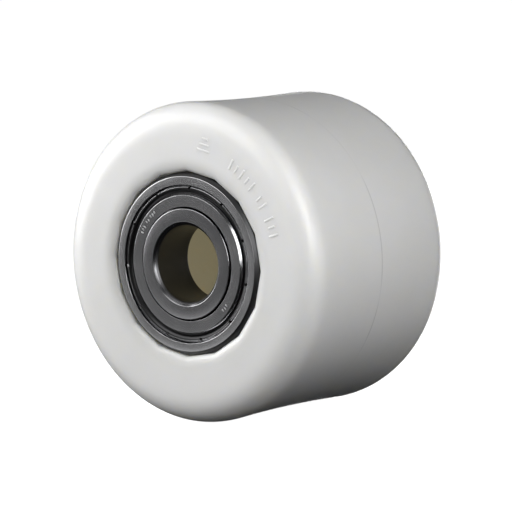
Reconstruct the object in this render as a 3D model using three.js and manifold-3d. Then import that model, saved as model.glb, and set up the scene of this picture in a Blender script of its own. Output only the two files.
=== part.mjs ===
// A moulded nylon roller that turns on two shielded ball bearings, one pressed into each end.
// Millimetres, +Z up. The roller turns about the Y axis and its centre is the origin. The front is -Y.
// The bearing's pieces are made about their own mid-plane, then placed at both ends.
import * as THREE from "three";
import { mergeVertices } from "three/addons/utils/BufferGeometryUtils.js";
import Module from "manifold-3d";

// ---- Driving dimensions ----
const roller = {
  width: 60, // across the two plastic faces
  shoulderRadius: 41.5, // tread at its two shoulders
  waistRadius: 41, // tread at mid-width, drawn in as the thick nylon shrank
  cornerAxial: 6.7, // length of the rounded corner along the axis
  cornerRadial: 8.7, // and down the face
  cornerPower: 2.5, // superellipse exponent of the corner
  mouthRadius: 27.2, // where the flat face starts to roll into the bearing's mouth
  mouthDepth: 1.6, // how far it rolls in
  pocketSides: 16, // flats of the shallow pocket around the bearing
  pocketDepth: 2.6, // from the face to the pocket's floor
  pocketClearance: 0.1, // from the seat to the pocket's flats
  cavityRadius: 19.5, // plain hole between the two bearing seats
};
const bearing = {
  boreRadius: 10,
  outerRadius: 23.5,
  width: 14,
  recess: 0.6, // its face below the plastic face
  chamfer: 1.1, // on the bore and on the outside
  innerLand: 14.4, // outside radius of the inner ring
  outerLand: 19.3, // inside radius of the outer ring
  shieldSeat: 20.45, // inside radius of the outer ring where the shields sit
  shieldSeatDepth: 1.9,
  lipStep: 0.25, // how much smaller the inner ring is beside a shield's lip
  lipStepDepth: 1.2,
  ballCount: 8,
  ballRadius: 3.969, // a 5/16 inch ball
  pitchRadius: 16.75,
};
const cage = {
  inner: 15.1,
  outer: 18.4,
  sheet: 0.7,
  pocketRadius: 4.3, // of the arch over a ball
  split: 0.05, // from the bearing's mid-plane to each half
};
const rivet = { shank: 0.55, head: 1.05, headHeight: 0.5, hole: 0.75 };
const shieldSheet = {
  thickness: 0.35,
  lipGap: 0.4, // to the inner ring
  seatGap: 0.1, // to the outer ring
  flatDepth: 0.42, // depths are below the rings' faces
  channelDepth: 1.35,
  rimDepth: 0.5,
  channelInner: 18.1,
  channelOuter: 19.05,
  wallSlope: 0.4,
};
const fitGap = 0.08; // between a pressed ring and its seat
const raceGap = 0.16; // between a ball and the bottom of its race

// How finely each round shape is divided.
const segments = {
  body: 60,
  corner: 6,
  mouth: 3,
  ring: 36,
  race: 3,
  ballAround: 12,
  ballAlong: 8,
  cageArch: 6,
  rivet: 6,
};

// ---- Materials ----
const steel = (color, roughness) => new THREE.MeshStandardMaterial({ color, roughness, metalness: 1 });
const nylon = new THREE.MeshStandardMaterial({ color: 0xe6e6e3, roughness: 0.35, metalness: 0 });
const ringSteel = steel(0x77787a, 0.35);
const shieldSteel = steel(0x828385, 0.4);
const ballSteel = steel(0xb4b6b8, 0.12);
const cageSteel = steel(0x9a9b9c, 0.45);

// ---- Helpers ----
const wasm = await Module();
wasm.setup();

// Closed geometry as a manifold-3d solid.
function solid(geometry) {
  const bare = geometry.clone();
  bare.deleteAttribute("normal");
  bare.deleteAttribute("uv");
  const merged = mergeVertices(bare, 1e-4);
  const vertProperties = merged.attributes.position.array;
  const triVerts = new Uint32Array(merged.index.array);
  return new wasm.Manifold(new wasm.Mesh({ numProp: 3, vertProperties, triVerts }));
}

// A manifold-3d solid as three.js geometry.
function geometryOf(made) {
  const mesh = made.getMesh();
  const geometry = new THREE.BufferGeometry();
  geometry.setAttribute("position", new THREE.BufferAttribute(new Float32Array(mesh.vertProperties), 3));
  geometry.setIndex(new THREE.BufferAttribute(mesh.triVerts, 1));
  geometry.computeVertexNormals();
  return geometry;
}

// Revolves a closed outline of [radius, y] points about Y. The outline runs counter-clockwise.
function revolve(outline, count) {
  const points = [...outline, outline[0]].map(([r, y]) => new THREE.Vector2(r, y));
  return new THREE.LatheGeometry(points, count);
}

// Points at equal steps from angle 0 to the given one in degrees, from a function of the angle in radians.
function arc(degrees, steps, point) {
  const end = THREE.MathUtils.degToRad(degrees);
  return Array.from({ length: steps + 1 }, (_, i) => point((end * i) / steps));
}

// A whole outline from its +y half: the half, then its mirror image going back.
function bothSides(half) {
  const back = half.map(([r, y]) => [r, -y]).reverse();
  return [...half, ...back];
}

// ---- Nylon roller ----
function rollerBody() {
  const face = roller.width / 2;
  const shoulderY = face - roller.cornerAxial;
  const crest = roller.shoulderRadius - roller.cornerRadial;
  const power = 2 / roller.cornerPower;
  const seat = bearing.outerRadius + fitGap;
  const ledge = face - bearing.recess - bearing.width - fitGap;
  const pocket = seat + roller.pocketClearance;
  const midTread = [roller.waistRadius + (roller.shoulderRadius - roller.waistRadius) / 4, shoulderY / 2];

  const corner = arc(90, segments.corner, (a) => [
    crest + roller.cornerRadial * Math.max(0, Math.cos(a)) ** power,
    shoulderY + roller.cornerAxial * Math.sin(a) ** power,
  ]);
  const mouth = arc(90, segments.mouth, (a) => [
    roller.mouthRadius - (roller.mouthRadius - pocket) * Math.sin(a),
    face - roller.mouthDepth * (1 - Math.cos(a)),
  ]);
  const seatWall = [
    [pocket, face - roller.pocketDepth],
    [seat, face - roller.pocketDepth],
    [seat, ledge],
    [roller.cavityRadius, ledge],
  ];
  const half = [midTread, ...corner, ...mouth, ...seatWall];
  const outline = bothSides(half);
  outline.push([roller.waistRadius, 0]);

  // The mouth ends in a shallow pocket with flat sides, cut at both ends.
  const corners = pocket / Math.cos(Math.PI / roller.pocketSides);
  const cutter = new THREE.CylinderGeometry(corners, corners, 2 * roller.pocketDepth, roller.pocketSides);
  const cut = (y) => solid(cutter.clone().translate(0, y, 0));
  return geometryOf(solid(revolve(outline, segments.body)).subtract(cut(face)).subtract(cut(-face)));
}

// ---- Bearing pieces: y = 0 is the bearing's mid-plane ----
const halfWidth = bearing.width / 2;

// The +y half of a race, from its bottom to the land beside it.
function race(land, side) {
  const radius = bearing.ballRadius + raceGap;
  const edge = THREE.MathUtils.radToDeg(Math.acos(Math.abs(land - bearing.pitchRadius) / radius));
  return arc(edge, segments.race, (a) => [
    bearing.pitchRadius + side * radius * Math.cos(a),
    radius * Math.sin(a),
  ]);
}

function outerRing() {
  const [bottom, ...wall] = race(bearing.outerLand, 1);
  const seatFloor = halfWidth - bearing.shieldSeatDepth;
  const half = [
    [bearing.outerRadius, halfWidth - bearing.chamfer],
    [bearing.outerRadius - bearing.chamfer, halfWidth],
    [bearing.shieldSeat, halfWidth],
    [bearing.shieldSeat, seatFloor],
    [bearing.outerLand, seatFloor],
    ...wall.slice(0, -1).reverse(),
  ];
  const back = half.map(([r, y]) => [r, -y]).reverse();
  return revolve([...half, bottom, ...back], segments.ring);
}

function innerRing() {
  const [bottom, ...wall] = race(bearing.innerLand, -1);
  const step = bearing.innerLand - bearing.lipStep;
  const half = [
    ...wall,
    [bearing.innerLand, halfWidth - bearing.lipStepDepth],
    [step, halfWidth - bearing.lipStepDepth],
    [step, halfWidth],
    [bearing.boreRadius + bearing.chamfer, halfWidth],
    [bearing.boreRadius, halfWidth - bearing.chamfer],
  ];
  return revolve([bottom, ...bothSides(half)], segments.ring);
}

// Pressed sheet, for the +y side: a rim in the outer ring, a channel, and a flat that ends in a lip.
function shield() {
  const rim = bearing.shieldSeat - shieldSheet.seatGap;
  const lip = bearing.innerLand + shieldSheet.lipGap;
  const { flatDepth, channelDepth, rimDepth, wallSlope } = shieldSheet;

  // Each point is [radius, depth below the ring's face, step that keeps the sheet's thickness on a slope].
  const top = [
    [lip, flatDepth, 0],
    [shieldSheet.channelInner - wallSlope, flatDepth, -wallSlope / 2],
    [shieldSheet.channelInner, channelDepth, -wallSlope / 2],
    [shieldSheet.channelOuter, channelDepth, wallSlope / 2],
    [shieldSheet.channelOuter + wallSlope, rimDepth, wallSlope / 2],
    [rim, rimDepth, 0],
  ];
  const under = top.map(([r, depth, step]) => [r + step, depth + shieldSheet.thickness]);
  const outline = [...under, ...top.reverse()].map(([r, depth]) => [r, halfWidth - depth]);
  return revolve(outline, segments.ring);
}

const ballAngle = (i) => (i * 2 * Math.PI) / bearing.ballCount;
const onPitch = (angle) => [bearing.pitchRadius * Math.sin(angle), 0, bearing.pitchRadius * Math.cos(angle)];

function ball() {
  return new THREE.SphereGeometry(bearing.ballRadius, segments.ballAround, segments.ballAlong);
}

// The +y half of a riveted cage: one ribbon that arches over every ball and lies flat between them.
function cageHalf() {
  const arch = (radius) =>
    arc(180, segments.cageArch, (a) => [
      -Math.asin((radius / bearing.pitchRadius) * Math.cos(a)),
      radius * Math.sin(a),
    ]);
  const under = arch(cage.pocketRadius);
  const over = arch(cage.pocketRadius + cage.sheet);

  // Each station is the ribbon's section at one place: its four corners, underneath then on top.
  const at = (radius, angle, y) => [radius * Math.sin(angle), y + cage.split, radius * Math.cos(angle)];
  const stations = [];
  for (let i = 0; i < bearing.ballCount; i++) {
    under.forEach(([lowAngle, lowY], k) => {
      const [highAngle, highY] = over[k];
      const low = ballAngle(i) + lowAngle;
      const high = ballAngle(i) + highAngle;
      const top = Math.max(highY, cage.sheet);
      stations.push([
        at(cage.inner, low, lowY),
        at(cage.outer, low, lowY),
        at(cage.outer, high, top),
        at(cage.inner, high, top),
      ]);
    });
  }

  const index = [];
  stations.forEach((_, s) => {
    const next = (s + 1) % stations.length;
    for (let corner = 0; corner < 4; corner++) {
      const beside = (corner + 1) % 4;
      const [a, b, c, d] = [4 * s + corner, 4 * s + beside, 4 * next + corner, 4 * next + beside];
      index.push(a, c, b, b, c, d);
    }
  });
  const ribbon = new THREE.BufferGeometry();
  ribbon.setAttribute("position", new THREE.Float32BufferAttribute(stations.flat(2), 3));
  ribbon.setIndex(index);

  let made = solid(ribbon);
  const drill = new THREE.CylinderGeometry(rivet.hole, rivet.hole, 4 * cage.sheet, segments.rivet);
  for (let i = 0; i < bearing.ballCount; i++) {
    const hole = drill.clone().translate(...onPitch(ballAngle(i + 0.5)));
    made = made.subtract(solid(hole));
  }
  return geometryOf(made);
}

function cageRivet() {
  const underHead = cage.split + cage.sheet + fitGap;
  const top = underHead + rivet.headHeight;
  const points = [
    [0, -top],
    [rivet.head, -top],
    [rivet.head, -underHead],
    [rivet.shank, -underHead],
    [rivet.shank, underHead],
    [rivet.head, underHead],
    [rivet.head, top],
    [0, top],
  ].map(([r, y]) => new THREE.Vector2(r, y));
  return new THREE.LatheGeometry(points, segments.rivet);
}

// ---- Assembly ----
const assembly = new THREE.Group();

function place(parent, name, geometry, material, position = [0, 0, 0], turned = false) {
  const mesh = new THREE.Mesh(geometry, material.clone());
  mesh.name = name;
  mesh.position.set(...position);
  if (turned) mesh.rotation.x = Math.PI;
  parent.add(mesh);
}

place(assembly, "roller_body", rollerBody(), nylon);

const bearingY = roller.width / 2 - bearing.recess - halfWidth;
const atCentre = [0, 0, 0];

for (const [end, side] of [["front", -1], ["rear", 1]]) {
  const group = new THREE.Group();
  group.position.y = side * bearingY;
  assembly.add(group);

  place(group, `${end}_outer_ring`, outerRing(), ringSteel);
  place(group, `${end}_inner_ring`, innerRing(), ringSteel);
  place(group, `${end}_outside_shield`, shield(), shieldSteel, atCentre, side < 0);
  place(group, `${end}_inside_shield`, shield(), shieldSteel, atCentre, side > 0);
  place(group, `${end}_cage_half_a`, cageHalf(), cageSteel);
  place(group, `${end}_cage_half_b`, cageHalf(), cageSteel, atCentre, true);
  for (let i = 0; i < bearing.ballCount; i++) {
    place(group, `${end}_ball_${i + 1}`, ball(), ballSteel, onPitch(ballAngle(i)));
    place(group, `${end}_cage_rivet_${i + 1}`, cageRivet(), cageSteel, onPitch(ballAngle(i + 0.5)));
  }
}

export default assembly;
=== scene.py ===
import math

import bpy
from mathutils import Matrix, Vector

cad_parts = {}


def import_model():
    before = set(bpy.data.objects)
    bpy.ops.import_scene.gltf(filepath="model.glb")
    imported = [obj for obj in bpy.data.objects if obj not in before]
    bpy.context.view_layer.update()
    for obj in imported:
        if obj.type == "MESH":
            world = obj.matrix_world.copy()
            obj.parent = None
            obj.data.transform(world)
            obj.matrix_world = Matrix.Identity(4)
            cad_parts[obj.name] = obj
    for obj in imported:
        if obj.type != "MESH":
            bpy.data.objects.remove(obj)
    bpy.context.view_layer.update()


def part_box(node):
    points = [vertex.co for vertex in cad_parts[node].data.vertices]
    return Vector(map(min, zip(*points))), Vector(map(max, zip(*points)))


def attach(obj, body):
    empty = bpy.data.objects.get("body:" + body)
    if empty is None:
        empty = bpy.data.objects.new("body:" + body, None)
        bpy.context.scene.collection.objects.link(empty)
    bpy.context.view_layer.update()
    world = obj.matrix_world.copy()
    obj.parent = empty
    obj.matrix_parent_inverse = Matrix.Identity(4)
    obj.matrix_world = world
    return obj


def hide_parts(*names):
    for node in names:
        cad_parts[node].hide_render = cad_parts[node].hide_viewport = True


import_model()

MM = 0.001

# ---- Sizes, in millimetres. What the frame can tell comes from the frame. ----
body_low, body_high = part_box("roller_body")
ring_low, ring_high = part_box("rear_outer_ring")
hub_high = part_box("rear_inner_ring")[1]
ball_low, ball_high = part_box("rear_ball_1")

MARK_HEIGHT = 0.12  # the raised marks reach the box of the frame's body
FACE = body_high.y / MM - MARK_HEIGHT  # the plastic face, from mid-width
SHOULDER = body_high.x / MM
WAIST = SHOULDER - 0.5
CORNER_AXIAL = 6.7
CORNER_RADIAL = 8.7
CORNER_POWER = 2.5  # 2 is an ellipse, and more is squarer
MOUTH = 27.2  # where the face starts to fall towards the bearing
MOUTH_DEPTH = 1.4
POCKET_SIDES = 16
POCKET_FLAT = 23.6
POCKET_DEPTH = 2.6
SEAT = 23.56
SEAT_GAP = 0.08  # between the bearing and the end of its seat
CAVITY = 19.5
CAVITY_CHAMFER = 0.4
SEAM_HALF_WIDTH = 0.15  # the mould's parting line, at mid-width
SEAM_HEIGHT = 0.012

OUTER = ring_high.x / MM
HALF_WIDTH = (ring_high.y - ring_low.y) / 2 / MM
BEARING_Y = (ring_high.y + ring_low.y) / 2 / MM
LAND = hub_high.x / MM  # outside of the inner ring
BORE = 10.0
OUTER_LAND = 19.25  # inside of the outer ring
RACE_GAP = 0.08  # between a ball and the bottom of its race
BALL = (ball_high.y - ball_low.y) / 2 / MM
PITCH = (ball_high.z + ball_low.z) / 2 / MM
BALLS = 8


# ---- Mesh helpers ----
def rounded(corners):
    """A closed outline from [(radius, y, fillet)], with each corner rounded by its fillet."""
    steps = 6
    points = []
    for i, (r, y, fillet) in enumerate(corners):
        here = Vector((r, y))
        if fillet <= 0:
            points.append((r, y))
            continue
        to_last = (Vector(corners[i - 1][:2]) - here).normalized()
        to_next = (Vector(corners[(i + 1) % len(corners)][:2]) - here).normalized()
        half = to_last.angle(to_next) / 2
        centre = here + (to_last + to_next).normalized() * fillet / math.sin(half)
        start = here + to_last * fillet / math.tan(half) - centre
        end = here + to_next * fillet / math.tan(half) - centre
        turn = math.atan2(start.x * end.y - start.y * end.x, start.dot(end))
        for k in range(steps + 1):
            spoke = Matrix.Rotation(turn * k / steps, 2) @ start
            points.append(tuple(centre + spoke))
    return points


def even_angles(count):
    return [2 * math.pi * i / count for i in range(count)]


def finish_mesh(name, points, faces, sharp=35):
    """A smooth-shaded object from points in millimetres."""
    mesh = bpy.data.meshes.new(name)
    mesh.from_pydata([Vector(p) * MM for p in points], [], faces)
    mesh.validate()
    mesh.shade_smooth()
    mesh.set_sharp_from_angle(angle=math.radians(sharp))
    made = bpy.data.objects.new(name, mesh)
    bpy.context.scene.collection.objects.link(made)
    return made


def turned(name, outline, angles=None, shape=None, sharp=35):
    """The closed outline [(radius, y)] turned about Y. shape(radius, y, angle) may bend it."""
    angles = angles or even_angles(192)
    area = sum(a[0] * b[1] - b[0] * a[1] for a, b in zip(outline, outline[1:] + outline[:1]))
    if area > 0:  # the faces turn outwards only when the outline runs clockwise
        outline = outline[::-1]
    count = len(outline)
    points = []
    for angle in angles:
        for i, (r, y) in enumerate(outline):
            if shape:
                r, y = shape(r, y, angle)
            points.append((r * math.sin(angle), y, r * math.cos(angle)))
    faces = []
    for s in range(len(angles)):
        here, there = s * count, (s + 1) % len(angles) * count
        for i in range(count):
            j = (i + 1) % count
            faces.append((here + i, here + j, there + j, there + i))
    return finish_mesh(name, points, faces, sharp)


# ---- Node helpers ----
class Nodes:
    """Short ways to add nodes to a tree."""

    def __init__(self, tree):
        self.tree = tree

    def link(self, source, socket):
        self.tree.links.new(source, socket)

    def fill(self, socket, value):
        """Gives a socket a number, a colour (r, g, b) or another node's output."""
        if isinstance(value, bpy.types.NodeSocket):
            self.link(value, socket)
        elif isinstance(value, tuple) and socket.type == "RGBA":
            socket.default_value = (*value, 1)
        else:
            socket.default_value = value

    def math(self, operation, *values):
        node = self.tree.nodes.new("ShaderNodeMath")
        node.operation = operation
        for socket, value in zip(node.inputs, values):
            self.fill(socket, value)
        return node.outputs[0]

    def noise(self, place, scale, detail):
        node = self.tree.nodes.new("ShaderNodeTexNoise")
        node.inputs["Scale"].default_value = scale
        node.inputs["Detail"].default_value = detail
        self.link(place, node.inputs["Vector"])
        return node.outputs["Fac"]

    def ramp(self, value, low, high):
        """A colour between two stops, each (position, colour)."""
        node = self.tree.nodes.new("ShaderNodeValToRGB")
        for element, (position, colour) in zip(node.color_ramp.elements, (low, high)):
            element.position = position
            element.color = (*colour, 1)
        self.link(value, node.inputs["Fac"])
        return node.outputs["Color"]

    def span(self, value, low, high, to_low=0.0, to_high=1.0):
        """Eases from to_low to to_high as the value goes from low to high."""
        node = self.tree.nodes.new("ShaderNodeMapRange")
        node.interpolation_type = "SMOOTHSTEP"
        for name, number in zip(("From Min", "From Max", "To Min", "To Max"), (low, high, to_low, to_high)):
            node.inputs[name].default_value = number
        self.link(value, node.inputs["Value"])
        return node.outputs["Result"]

    def mix(self, share, first, second):
        """A blend of two colours: all of the first where the share is 0."""
        node = self.tree.nodes.new("ShaderNodeMix")
        node.data_type = "RGBA"
        for socket, value in zip((node.inputs[0], node.inputs[6], node.inputs[7]), (share, first, second)):
            self.fill(socket, value)
        return node.outputs[2]

    def vector(self, *values):
        node = self.tree.nodes.new("ShaderNodeCombineXYZ")
        for socket, value in zip(node.inputs, values):
            self.fill(socket, value)
        return node.outputs[0]

    def parts(self, vector):
        node = self.tree.nodes.new("ShaderNodeSeparateXYZ")
        self.link(vector, node.inputs[0])
        return node.outputs

    def bump(self, height, distance, strength, onto=None):
        """A bumped normal; distance is the height, in metres, of a full step of the texture."""
        node = self.tree.nodes.new("ShaderNodeBump")
        node.inputs["Strength"].default_value = strength
        node.inputs["Distance"].default_value = distance
        self.link(height, node.inputs["Height"])
        if onto:
            self.link(onto, node.inputs["Normal"])
        return node.outputs["Normal"]


class Material(Nodes):
    """A new material, with the nodes that shape its surface."""

    def __init__(self, name):
        self.material = bpy.data.materials.new(name)
        self.material.use_nodes = True
        super().__init__(self.material.node_tree)
        self.surface = self.tree.nodes["Principled BSDF"]
        self.place = self.tree.nodes.new("ShaderNodeTexCoord").outputs["Object"]

    def polar(self):
        """(radius from the Y axis, y), in metres."""
        x, y, z = self.parts(self.place)
        squares = self.math("ADD", self.math("MULTIPLY", x, x), self.math("MULTIPLY", z, z))
        return self.math("SQRT", squares), y

    def set(self, **values):
        """Fills the surface's sockets, named with _ for each space."""
        for name, value in values.items():
            self.fill(self.surface.inputs[name.replace("_", " ")], value)


# ---- Materials ----
SHADED = (28.5, 23.5)  # radii over which painted shade greys the nylon towards the bearing
PAINTED_GLOW_RADII = (23.2, 21.5)  # radii over which it turns to a yellower painted glow, standing in for light that crosses the wall into the cavity
SEAM = (0.1, 0.3)  # distances from mid-width over which the parting line fades


def nylon(name, subsurface):
    """White moulded nylon, greyed by painted shade near the bearing. A yellower colour and a faint emission
    in the cavity are a painted glow, standing in for light that has crossed the wall.
    """
    m = Material(name)
    radius, y = m.polar()
    clouds = m.noise(m.place, 45, 4)
    fine = m.noise(m.place, 900, 3)
    white = m.ramp(clouds, (0.35, (0.80, 0.80, 0.79)), (0.65, (0.83, 0.83, 0.825)))
    # painted shade: the colour greys towards the bearing, where the mouth falls into shade
    shaded = m.mix(m.span(radius, *(r * MM for r in SHADED)), white, (0.70, 0.70, 0.68))
    inside = m.span(radius, *(r * MM for r in PAINTED_GLOW_RADII))
    seam = m.span(m.math("ABSOLUTE", y), *(d * MM for d in SEAM), 1.0, 0.0)
    seam = m.math("MULTIPLY", seam, m.span(clouds, 0.4, 0.6, 0.05, 0.4))
    skin_colour = m.mix(seam, shaded, (0.40, 0.40, 0.39))
    # painted glow: the cavity's base colour turns yellower
    m.set(Base_Color=m.mix(inside, skin_colour, (0.60, 0.56, 0.42)), Metallic=0.0, IOR=1.53)
    m.set(Roughness=m.math("MULTIPLY_ADD", fine, 0.06, 0.27))
    m.surface.subsurface_method = "RANDOM_WALK"
    m.set(Subsurface_Weight=subsurface, Subsurface_Radius=(1.0, 0.95, 0.8))
    m.set(Subsurface_Scale=m.span(inside, 0.0, 1.0, 0.004, 0.02))
    # painted glow: a faint emission in the cavity, though it is no lamp
    m.set(Emission_Color=(0.60, 0.54, 0.36), Emission_Strength=m.math("MULTIPLY", inside, 0.18))
    m.material.cycles.emission_sampling = "NONE"
    tool_marks = m.noise(m.vector(radius, y, 0.0), 1500, 2)
    skin = m.bump(tool_marks, 0.00002, 0.35)
    m.set(Normal=m.bump(fine, 0.00002, 0.25, skin))
    return m.material


BAND_EDGE = 0.08  # half the width over which a band of painted shade on the steel starts and stops


def steel(name, dark, light, roughness, grain=0.1, turned_marks=True, painted_shade_bands=()):
    """Bare steel with fine turning marks about Y, a little staining and uneven polish.

    The last argument holds bands (low radius, high radius, share of the colour left) of painted shade: the
    steel is darker and rougher there, in recesses, gaps and on a chamfer turned from the light.
    """
    m = Material(name)
    radius, y = m.polar()
    stain = m.noise(m.place, 120, 3)
    colour = m.ramp(stain, (0.3, dark), (0.7, light))
    rough = m.span(stain, 0.3, 0.7, roughness - 0.01, roughness + 0.015)
    for low, high, left in painted_shade_bands:
        rising = m.span(radius, (low - BAND_EDGE) * MM, (low + BAND_EDGE) * MM)
        falling = m.span(radius, (high - BAND_EDGE) * MM, (high + BAND_EDGE) * MM, 1.0, 0.0)
        band = m.math("MULTIPLY", rising, falling)
        # painted shade: the colour darkens inside each band
        colour = m.mix(band, colour, tuple(left * c for c in dark))
        rough = m.math("ADD", rough, m.math("MULTIPLY", band, 0.15))
    m.set(Base_Color=colour, Metallic=1.0, Roughness=rough)
    place = m.vector(radius, y, 0.0) if turned_marks else m.place
    lines = m.noise(place, 6000, 2)
    m.set(Normal=m.bump(lines, 0.000004, grain))
    return m.material


def tone(value):
    """The colour of steel: grey, with a trace of blue."""
    return (value, value, value + 0.01)


NYLON = nylon("nylon", 0.6)
NYLON_SKIN = nylon("nylon_marks", 0.0)
# painted shade on the outer chamfer, in the crevice beside the nylon
RING_FACE = steel("ring_steel", tone(0.46), tone(0.50), 0.23, painted_shade_bands=[(OUTER - 0.9, OUTER + 1, 0.15)])
# painted shade in the bore and on its chamfer
HUB_FACE = steel("hub_steel", tone(0.30), tone(0.33), 0.21, painted_shade_bands=[(0, BORE + 0.4, 0.35)])
# painted shade in the gap by the inner ring and down the channel under the curled rim
SHIELD = steel("shield_steel", tone(0.38), tone(0.42), 0.20, painted_shade_bands=[(14.5, 14.82, 0.15), (18.25, 19.72, 0.10)])
# painted shade: near-black steel for the hollows of the shield's notches
NOTCH_PAINTED_SHADE = steel("notch_painted_shade", (0.02, 0.02, 0.02), (0.04, 0.04, 0.04), 0.5, turned_marks=False)
CAGE = steel("cage_steel", tone(0.45), tone(0.55), 0.4, turned_marks=False)
BALL_STEEL = steel("ball_steel", (0.70, 0.70, 0.72), (0.76, 0.76, 0.78), 0.08, turned_marks=False)
ETCH = steel("etched_steel", tone(0.56), tone(0.62), 0.42, turned_marks=False)


def settle(piece, body, slot, material, *nodes):
    """Gives a piece its material and its body, and hides the CAD nodes that it stands for."""
    if not piece.data.materials:
        piece.data.materials.append(material)
    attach(piece, body)
    if nodes:
        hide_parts(*nodes)
    return piece


# ---- Nylon roller ----
def facet(angle):
    """The radius of the pocket's polygon at an angle, in units of its radius at the middle of a flat."""
    side = 2 * math.pi / POCKET_SIDES
    from_middle = angle % side - side / 2
    return 1 / math.cos(from_middle)


def body_outline():
    """The +y half, from mid-width outwards and in to the cavity."""
    shoulder_y = FACE - CORNER_AXIAL
    half = [(WAIST, y) for y in (0.1, 0.18, 0.3)]  # rows for the parting line
    for i in range(1, 24):
        t = i / 24
        half.append((WAIST + (SHOULDER - WAIST) * t * t, shoulder_y * t))
    crest = SHOULDER - CORNER_RADIAL
    for i in range(33):
        a = math.pi / 2 * i / 32
        r = crest + CORNER_RADIAL * max(0.0, math.cos(a)) ** (2 / CORNER_POWER)
        half.append((r, shoulder_y + CORNER_AXIAL * math.sin(a) ** (2 / CORNER_POWER)))
    for i in range(1, 6):
        half.append((crest + (MOUTH - crest) * i / 6, FACE))
    for i in range(17):
        a = math.pi / 2 * i / 16
        half.append((MOUTH - (MOUTH - POCKET_FLAT) * math.sin(a), FACE - MOUTH_DEPTH * (1 - math.cos(a))))
    ledge = BEARING_Y - HALF_WIDTH - SEAT_GAP
    half += [(POCKET_FLAT, FACE - POCKET_DEPTH), (SEAT, FACE - POCKET_DEPTH), (SEAT, ledge)]
    half += [(CAVITY + CAVITY_CHAMFER, ledge), (CAVITY, ledge - CAVITY_CHAMFER)]
    return half


def body_shape(r, y, angle):
    """Draws the mouth towards the faceted pocket, and raises the mould's parting line."""
    if r < MOUTH and abs(y) >= FACE - POCKET_DEPTH - 0.01 and r > SEAT + 0.01:
        share = min(1.0, (MOUTH - r) / (MOUTH - POCKET_FLAT)) ** 2
        r *= 1 + share * (facet(angle) - 1)
    if abs(y) < SEAM_HALF_WIDTH and r > SHOULDER - 2:
        unevenness = 1.8 + math.sin(5 * angle + 1) + 0.6 * math.sin(13 * angle)
        r += SEAM_HEIGHT * unevenness * (1 - abs(y) / SEAM_HALF_WIDTH)
    return r, y


def roller_body():
    half = body_outline()
    outline = [(WAIST, 0.0), *half] + [(r, -y) for r, y in reversed(half)]
    made = turned("nylon_body", outline, even_angles(320), body_shape)
    settle(made, "roller", "nylon", NYLON, "roller_body")


# ---- Raised marks on the front face: ticks and a small fan, in place of any lettering ----
def bar(length, width, height):
    """Points and faces of a low bar along +y with rounded top edges, lying on the plane z = 0."""
    steps = 3
    rows = []
    for s in range(steps + 1):
        a = math.pi / 2 * s / steps
        rows.append((0.35 * width * (1 - math.cos(a)), height * math.sin(a)))
    points = []
    for inset, z in rows:
        w, h = width / 2 - inset, length / 2 - inset
        points += [(-w, -h, z), (w, -h, z), (w, h, z), (-w, h, z)]
    faces = [(3, 2, 1, 0)]
    for s in range(len(rows) - 1):
        for k in range(4):
            a, b = 4 * s + k, 4 * s + (k + 1) % 4
            faces.append((a, b, b + 4, a + 4))
    top = 4 * (len(rows) - 1)
    faces.append((top, top + 1, top + 2, top + 3))
    return points, faces


def marks(name, items, face_y, width, height):
    """Joins bars, each (degrees from the top, radius, length, lean in degrees), on a face at -y."""
    points, faces = [], []
    for degrees, radius, length, lean in items:
        at = math.radians(degrees)
        out = Vector((math.sin(at), 0, math.cos(at)))
        along = Vector((math.cos(at), 0, -math.sin(at)))
        turn = Matrix.Rotation(math.radians(lean), 3, "Y")
        centre = out * radius + Vector((0, face_y, 0))
        bar_points, bar_faces = bar(length, width, height)
        base = len(points)
        for x, y, z in bar_points:
            points.append(centre + turn @ (along * x + out * y) - Vector((0, z, 0)))
        faces += [tuple(base + i for i in face) for face in bar_faces]
    return finish_mesh(name, points, faces)


def face_marks():
    """Three groups of ticks and a small fan of bars."""
    long, short = 3.0, 2.1
    radius = 30.6
    ticks = [(30, long), (34, short), (38, long), (42, short), (46, long)]
    ticks += [(53, short), (57, long)]
    ticks += [(64, long), (68, short), (72, long)]
    items = [(degrees, radius, length, 0) for degrees, length in ticks]
    items += [(12, 30.2 + 1.5 * k, 4.0 - k, 90) for k in range(3)]
    made = marks("raised_face_marks", items, -FACE, 0.6, MARK_HEIGHT)
    settle(made, "roller", "nylon", NYLON_SKIN)


# ---- Bearing pieces, each about its own mid-plane ----
def race(land, side):
    """The +y half of a race, from its bottom to its land; side is 1 in the outer ring, -1 in the inner."""
    steps = 20
    radius = BALL + RACE_GAP
    edge = math.acos(abs(land - PITCH) / radius)
    return [
        (PITCH + side * radius * math.cos(edge * i / steps), radius * math.sin(edge * i / steps))
        for i in range(steps + 1)
    ]


def ring_outline(corners, land, side):
    """A whole ring from its rounded +y corners and its race."""
    arc = race(land, side)
    half = [p for p in rounded(corners) if p[1] > arc[-1][1]]
    half = half + arc[::-1] if side > 0 else arc + half
    back = [(r, -y) for r, y in reversed(half)]
    return half + (back[1:] if side > 0 else back[:-1])


def outer_ring_outline():
    top = HALF_WIDTH
    corners = [
        (OUTER, 0.0, 0),
        (OUTER, top - 0.95, 0.35),
        (OUTER - 0.95, top, 0.22),
        (20.5, top, 0.1),
        (20.5, top - 0.45, 0.05),
        (20.8, top - 0.75, 0.1),
        (20.8, top - 1.25, 0.1),
        (20.35, top - 1.75, 0.1),
        (OUTER_LAND, top - 1.9, 0.15),
        (OUTER_LAND, 0.0, 0),
    ]
    return ring_outline(corners, OUTER_LAND, 1)


def inner_ring_outline():
    top = HALF_WIDTH
    corners = [
        (LAND, 0.0, 0),
        (LAND, top - 1.3, 0.1),
        (LAND - 0.1, top - 1.2, 0.05),
        (LAND - 0.1, top, 0.2),
        (BORE + 0.95, top, 0.18),
        (BORE, top - 0.95, 0.4),
        (BORE, 0.0, 0),
    ]
    return ring_outline(corners, LAND, -1)


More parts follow.
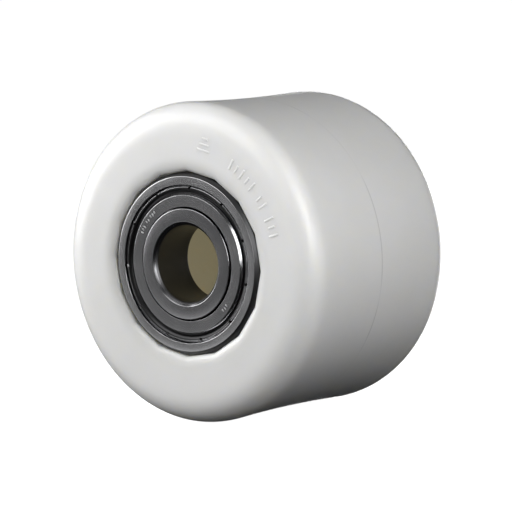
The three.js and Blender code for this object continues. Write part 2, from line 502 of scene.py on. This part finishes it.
# Top of the pressed sheet, from the lip by the inner ring to the curled rim:
# (radius, depth below the ring's face, fillet).
SHIELD_TOP = [
    (14.70, 0.54, 0.0),
    (14.82, 0.36, 0.08),
    (17.68, 0.26, 0.12),
    (18.18, 0.80, 0.10),
    (18.28, 1.40, 0.10),
    (18.46, 1.40, 0.10),
    (18.90, 0.84, 0.20),
    (19.32, 0.54, 0.30),
    (19.84, 0.44, 0.14),
    (20.12, 1.05, 0.0),
]
SHEET = 0.3
# How far out each point moves on the underside, so that the steep parts are as thick as the flat ones.
UNDER_SHIFT = (0.0, 0.05, -0.12, -0.26, -0.26, 0.16, 0.18, 0.1, -0.08, -0.16)
CURL_START = 19.3
CURL_RUN = 0.25  # over which the notches reach their depth
NOTCHES = 11
NOTCH_PITCH = 360 / NOTCHES  # this and the next three are in degrees
FIRST_NOTCH = 11.0  # clockwise from +X, seen from the front
NOTCH_HALF_WIDTH = 1.15
NOTCH_SLOPE = 0.35
NOTCH_DEPTH = 0.9


def shield_outline():
    top = [(r, HALF_WIDTH - depth, fillet) for r, depth, fillet in SHIELD_TOP]
    under = [(r + step, y - SHEET, f * 0.7) for (r, y, f), step in zip(top, UNDER_SHIFT)]
    return rounded(top + under[::-1])


def notch_angles():
    """Angles about Y for the sheet's mesh, close together at each notch of the rim."""
    near = [0, 0.4, 0.8, 0.95, 1.15, 1.6, 2.4, 3.6, 5, 7, 9, 11, 13, 15]
    offsets = [-o for o in near[:0:-1]] + near
    middles = [90 - FIRST_NOTCH + NOTCH_PITCH * k for k in range(NOTCHES)]
    return sorted(math.radians((middle + o) % 360) for middle in middles for o in offsets)


def notch_depth(angle):
    """1 in the middle of a notch, 0 beside it."""
    half = NOTCH_PITCH / 2
    off = (math.degrees(angle) - 90 + FIRST_NOTCH + half) % NOTCH_PITCH - half
    return max(0.0, min(1.0, (NOTCH_HALF_WIDTH - abs(off)) / NOTCH_SLOPE))


def shield_shape(r, y, angle):
    """Presses the crimp's notches into the curled rim."""
    if r > CURL_START:
        y -= NOTCH_DEPTH * notch_depth(angle) * min(1.0, (r - CURL_START) / CURL_RUN)
    return r, y


def shield(name):
    """A pressed shield, whose notches take a near-black material of painted shade."""
    made = turned(name, shield_outline(), notch_angles(), shield_shape, 40)
    made.data.materials.append(SHIELD)
    made.data.materials.append(NOTCH_PAINTED_SHADE)
    for face in made.data.polygons:
        x, z = face.center.xz
        in_rim = math.hypot(x, z) > (CURL_START + 0.15) * MM
        # the notches' faces in the rim take the painted shade
        if in_rim and notch_depth(math.atan2(x, z)) > 0.3:
            face.material_index = 1
    return made


def ball(name):
    steps, count = 48, 48
    outline = []
    for i in range(1, steps):
        a = math.pi * i / steps
        outline.append((BALL * math.sin(a), -BALL * math.cos(a)))
    points = [(0, -BALL, 0)]
    for r, y in outline:
        points += [(r * math.sin(b), y, r * math.cos(b)) for b in even_angles(count)]
    points.append((0, BALL, 0))
    faces = []
    for k in range(count):
        j = (k + 1) % count
        faces.append((0, 1 + j, 1 + k))
        faces.append((len(points) - 1, len(points) - 1 - count + k, len(points) - 1 - count + j))
        for i in range(len(outline) - 1):
            a = 1 + i * count
            faces.append((a + k, a + j, a + count + j, a + count + k))
    return finish_mesh(name, points, faces, 60)


def cage_half(name):
    """The +y half: a pressed ribbon that arches over each ball and lies flat between them."""
    inner, outer, sheet, pocket, split, bevel = 15.1, 18.4, 0.7, 4.25, 0.05, 0.12
    arch_steps = 24
    points = []
    for i in range(BALLS):
        for k in range(arch_steps + 1):
            a = math.pi * k / arch_steps
            low = (-math.asin(pocket / PITCH * math.cos(a)), pocket * math.sin(a))
            high_radius = pocket + sheet
            high = (-math.asin(high_radius / PITCH * math.cos(a)), max(sheet, high_radius * math.sin(a)))
            ball_at = 2 * math.pi * i / BALLS
            ring = [
                (inner + bevel, *low, 0.0),
                (outer - bevel, *low, 0.0),
                (outer, *low, bevel),
                (outer, *high, -bevel),
                (outer - bevel, *high, 0.0),
                (inner + bevel, *high, 0.0),
                (inner, *high, -bevel),
                (inner, *low, bevel),
            ]
            for r, at, y, lift in ring:
                angle = ball_at + at
                points.append((r * math.sin(angle), y + lift + split, r * math.cos(angle)))
    size = len(ring)  # points in each section
    sections = len(points) // size
    faces = []
    for s in range(sections):
        here, there = s * size, (s + 1) % sections * size
        for k in range(size):
            j = (k + 1) % size
            faces.append((here + k, there + k, there + j, here + j))
    return finish_mesh(name, points, faces, 50)


def rivet(name):
    """A shank with a domed head at each end."""
    top, under, head, shank = 1.33, 0.83, 1.05, 0.55
    dome_steps, count = 8, 24
    half = [(shank, under)]
    for k in range(dome_steps):
        a = math.pi / 2 * k / dome_steps
        half.append((head * math.cos(a), under + (top - under) * math.sin(a)))
    rings = half[::-1] + [(r, -y) for r, y in half]
    points = [(0, top, 0)]
    for r, y in rings:
        points += [(r * math.sin(b), y, r * math.cos(b)) for b in even_angles(count)]
    points.append((0, -top, 0))
    last = len(points) - 1
    faces = []
    for k in range(count):
        j = (k + 1) % count
        faces.append((0, 1 + k, 1 + j))
        faces.append((last, last - count + j, last - count + k))
        for i in range(len(rings) - 1):
            a = 1 + i * count
            faces.append((a + k, a + count + k, a + count + j, a + j))
    return finish_mesh(name, points, faces, 40)


def put(piece, side, turned_over=False, on_pitch=None):
    """Places a piece at its bearing, turned over about X, or out on the pitch circle."""
    y = side * BEARING_Y * MM
    if turned_over:
        piece.rotation_euler.x = math.pi
    piece.location = (0, y, 0)
    if on_pitch is not None:
        piece.location = (PITCH * MM * math.sin(on_pitch), y, PITCH * MM * math.cos(on_pitch))
    return piece


def bearing(end, side):
    """All of one bearing: side is -1 at the front and 1 at the rear."""
    ring = put(turned(f"{end}_outer_ring_ground", outer_ring_outline()), side)
    settle(ring, "roller", "ring_steel", RING_FACE, f"{end}_outer_ring")
    hub = put(turned(f"{end}_inner_ring_ground", inner_ring_outline()), side)
    settle(hub, "inner_rings", "ring_steel", HUB_FACE, f"{end}_inner_ring")
    for where, over in (("outside", side < 0), ("inside", side > 0)):
        cover = put(shield(f"{end}_{where}_shield_pressed"), side, over)
        settle(cover, "roller", "shield_steel", SHIELD, f"{end}_{where}_shield")
    for half, over in (("a", False), ("b", True)):
        ribbon = put(cage_half(f"{end}_cage_half_{half}_pressed"), side, over)
        settle(ribbon, f"{end}_cage", "cage_steel", CAGE, f"{end}_cage_half_{half}")
    for i in range(BALLS):
        at = 2 * math.pi * i / BALLS
        number = i + 1
        one = put(ball(f"{end}_ball_{number}_polished"), side, on_pitch=at)
        settle(one, f"{end}_ball_{number}", "ball_steel", BALL_STEEL, f"{end}_ball_{number}")
        pin = put(rivet(f"{end}_cage_rivet_{number}_headed"), side, on_pitch=at + math.pi / BALLS)
        settle(pin, f"{end}_cage", "cage_steel", CAGE, f"{end}_cage_rivet_{number}")


def shield_marks():
    """Etched dashes on the front shield, in place of any lettering."""
    spots = [-64, -61, -58, -53, -50, -46, -43, -40, 126, 129, 132]
    items = [(degrees, 16.3 + 0.25 * (k % 2), 0.75, 0) for k, degrees in enumerate(spots)]
    depth = 0.30  # of the shield's face at that radius
    face_y = -(BEARING_Y + HALF_WIDTH - depth)
    made = marks("etched_shield_marks", items, face_y, 0.3, 0.012)
    settle(made, "roller", "shield_steel", ETCH)


roller_body()
face_marks()
bearing("front", -1)
bearing("rear", 1)
shield_marks()


# ---- Stage, light and camera ----
GROUND_LIGHT = 0.008
SKY_LIGHT = 0.06
REFLECTOR = (-40, -9)  # azimuth and elevation, degrees
REFLECTOR_REACH = (22, 48)  # degrees from its middle over which it fades
REFLECTOR_LIGHT = 0.17


def floor():
    """A white sheet under the roller that neither lights it nor shows in it."""
    half = 3.0
    mesh = bpy.data.meshes.new("floor")
    corners = [(-half, -half, 0), (half, -half, 0), (half, half, 0), (-half, half, 0)]
    mesh.from_pydata(corners, [], [(0, 1, 2, 3)])
    made = bpy.data.objects.new("floor", mesh)
    made.location.z = body_low.z
    bpy.context.scene.collection.objects.link(made)
    m = Material("floor")
    grain = m.noise(m.place, 30, 2)
    m.set(Base_Color=m.ramp(grain, (0.3, (0.90, 0.90, 0.90)), (0.7, (0.92, 0.92, 0.92))), Roughness=0.9)
    m.set(Emission_Color=(1.0, 1.0, 1.0), Emission_Strength=0.95)
    mesh.materials.append(m.material)
    made.visible_diffuse = False
    made.visible_glossy = False
    made.visible_shadow = False


def towards(azimuth, elevation):
    """The direction from the object to a place round it: azimuth 0 is in front, 90 is to the right."""
    a, e = math.radians(azimuth), math.radians(elevation)
    return Vector((math.sin(a) * math.cos(e), -math.cos(a) * math.cos(e), math.sin(e)))


def softbox(name, azimuth, elevation, distance, width, height, power):
    """A rectangular lamp that faces the roller; sizes in metres, power in watts."""
    light = bpy.data.lights.new(name, "AREA")
    light.shape = "RECTANGLE"
    light.size = width
    light.size_y = height
    light.energy = power
    made = bpy.data.objects.new(name, light)
    back = towards(azimuth, elevation)
    made.location = back * distance
    made.rotation_mode = "QUATERNION"
    made.rotation_quaternion = back.to_track_quat("Z", "Y")
    bpy.context.scene.collection.objects.link(made)


def world():
    """A studio: dim light above, less below, a reflector low in front on the left, and a white backdrop."""
    made = bpy.data.worlds.new("studio")
    bpy.context.scene.world = made
    made.use_nodes = True
    n = Nodes(made.node_tree)
    background = n.tree.nodes["Background"]
    direction = n.tree.nodes.new("ShaderNodeTexCoord").outputs["Generated"]
    above = n.span(n.parts(direction)[2], -0.05, 0.45, GROUND_LIGHT, SKY_LIGHT)
    facing = n.tree.nodes.new("ShaderNodeVectorMath")
    facing.operation = "DOT_PRODUCT"
    n.link(direction, facing.inputs[0])
    facing.inputs[1].default_value = towards(*REFLECTOR)
    near, far = (math.cos(math.radians(reach)) for reach in REFLECTOR_REACH)
    glow = n.span(facing.outputs["Value"], far, near, 0.0, REFLECTOR_LIGHT)
    seen = n.tree.nodes.new("ShaderNodeLightPath").outputs["Is Camera Ray"]
    n.fill(background.inputs["Color"], (1.0, 1.0, 1.0))
    n.fill(background.inputs["Strength"], n.math("MAXIMUM", n.math("ADD", above, glow), seen))


def camera():
    """A long lens. It aims a little off the roller's centre, by millimetres to the right and up."""
    azimuth, elevation, distance = 38.30, 6.95, 0.7932
    right, up = -0.11, -0.69
    data = bpy.data.cameras.new("camera")
    data.lens = 211.31
    data.sensor_width = 36.0
    data.clip_start = 0.05
    made = bpy.data.objects.new("camera", data)
    back = towards(azimuth, elevation)
    turn = back.to_track_quat("Z", "Y")
    aim = turn @ Vector((right * MM, up * MM, 0))
    made.location = aim + back * distance
    made.rotation_mode = "QUATERNION"
    made.rotation_quaternion = turn
    bpy.context.scene.collection.objects.link(made)
    bpy.context.scene.camera = made


floor()
world()
softbox("key_left", -68, 20, 0.3, 0.2, 0.2, 0.40)
softbox("front_left", -62, 10, 0.4, 0.2, 0.2, 0.54)
softbox("front_high", -25, 38, 0.4, 0.25, 0.25, 0.60)
softbox("low_left", -40, -24, 0.3, 0.16, 0.1, 0.04)
softbox("side_left", -76, -10, 0.5, 0.14, 0.14, 0.06)
softbox("strip_right", 52, 8, 0.9, 0.05, 0.2, 0.20)
softbox("side_right", 60, 23, 0.25, 0.16, 0.16, 0.37)
softbox("far_right", 100, 5, 0.4, 0.2, 0.2, 0.13)
softbox("rear", 195, -5, 0.6, 0.5, 0.3, 1.6)
camera()
bpy.context.scene.view_settings.view_transform = "Standard"
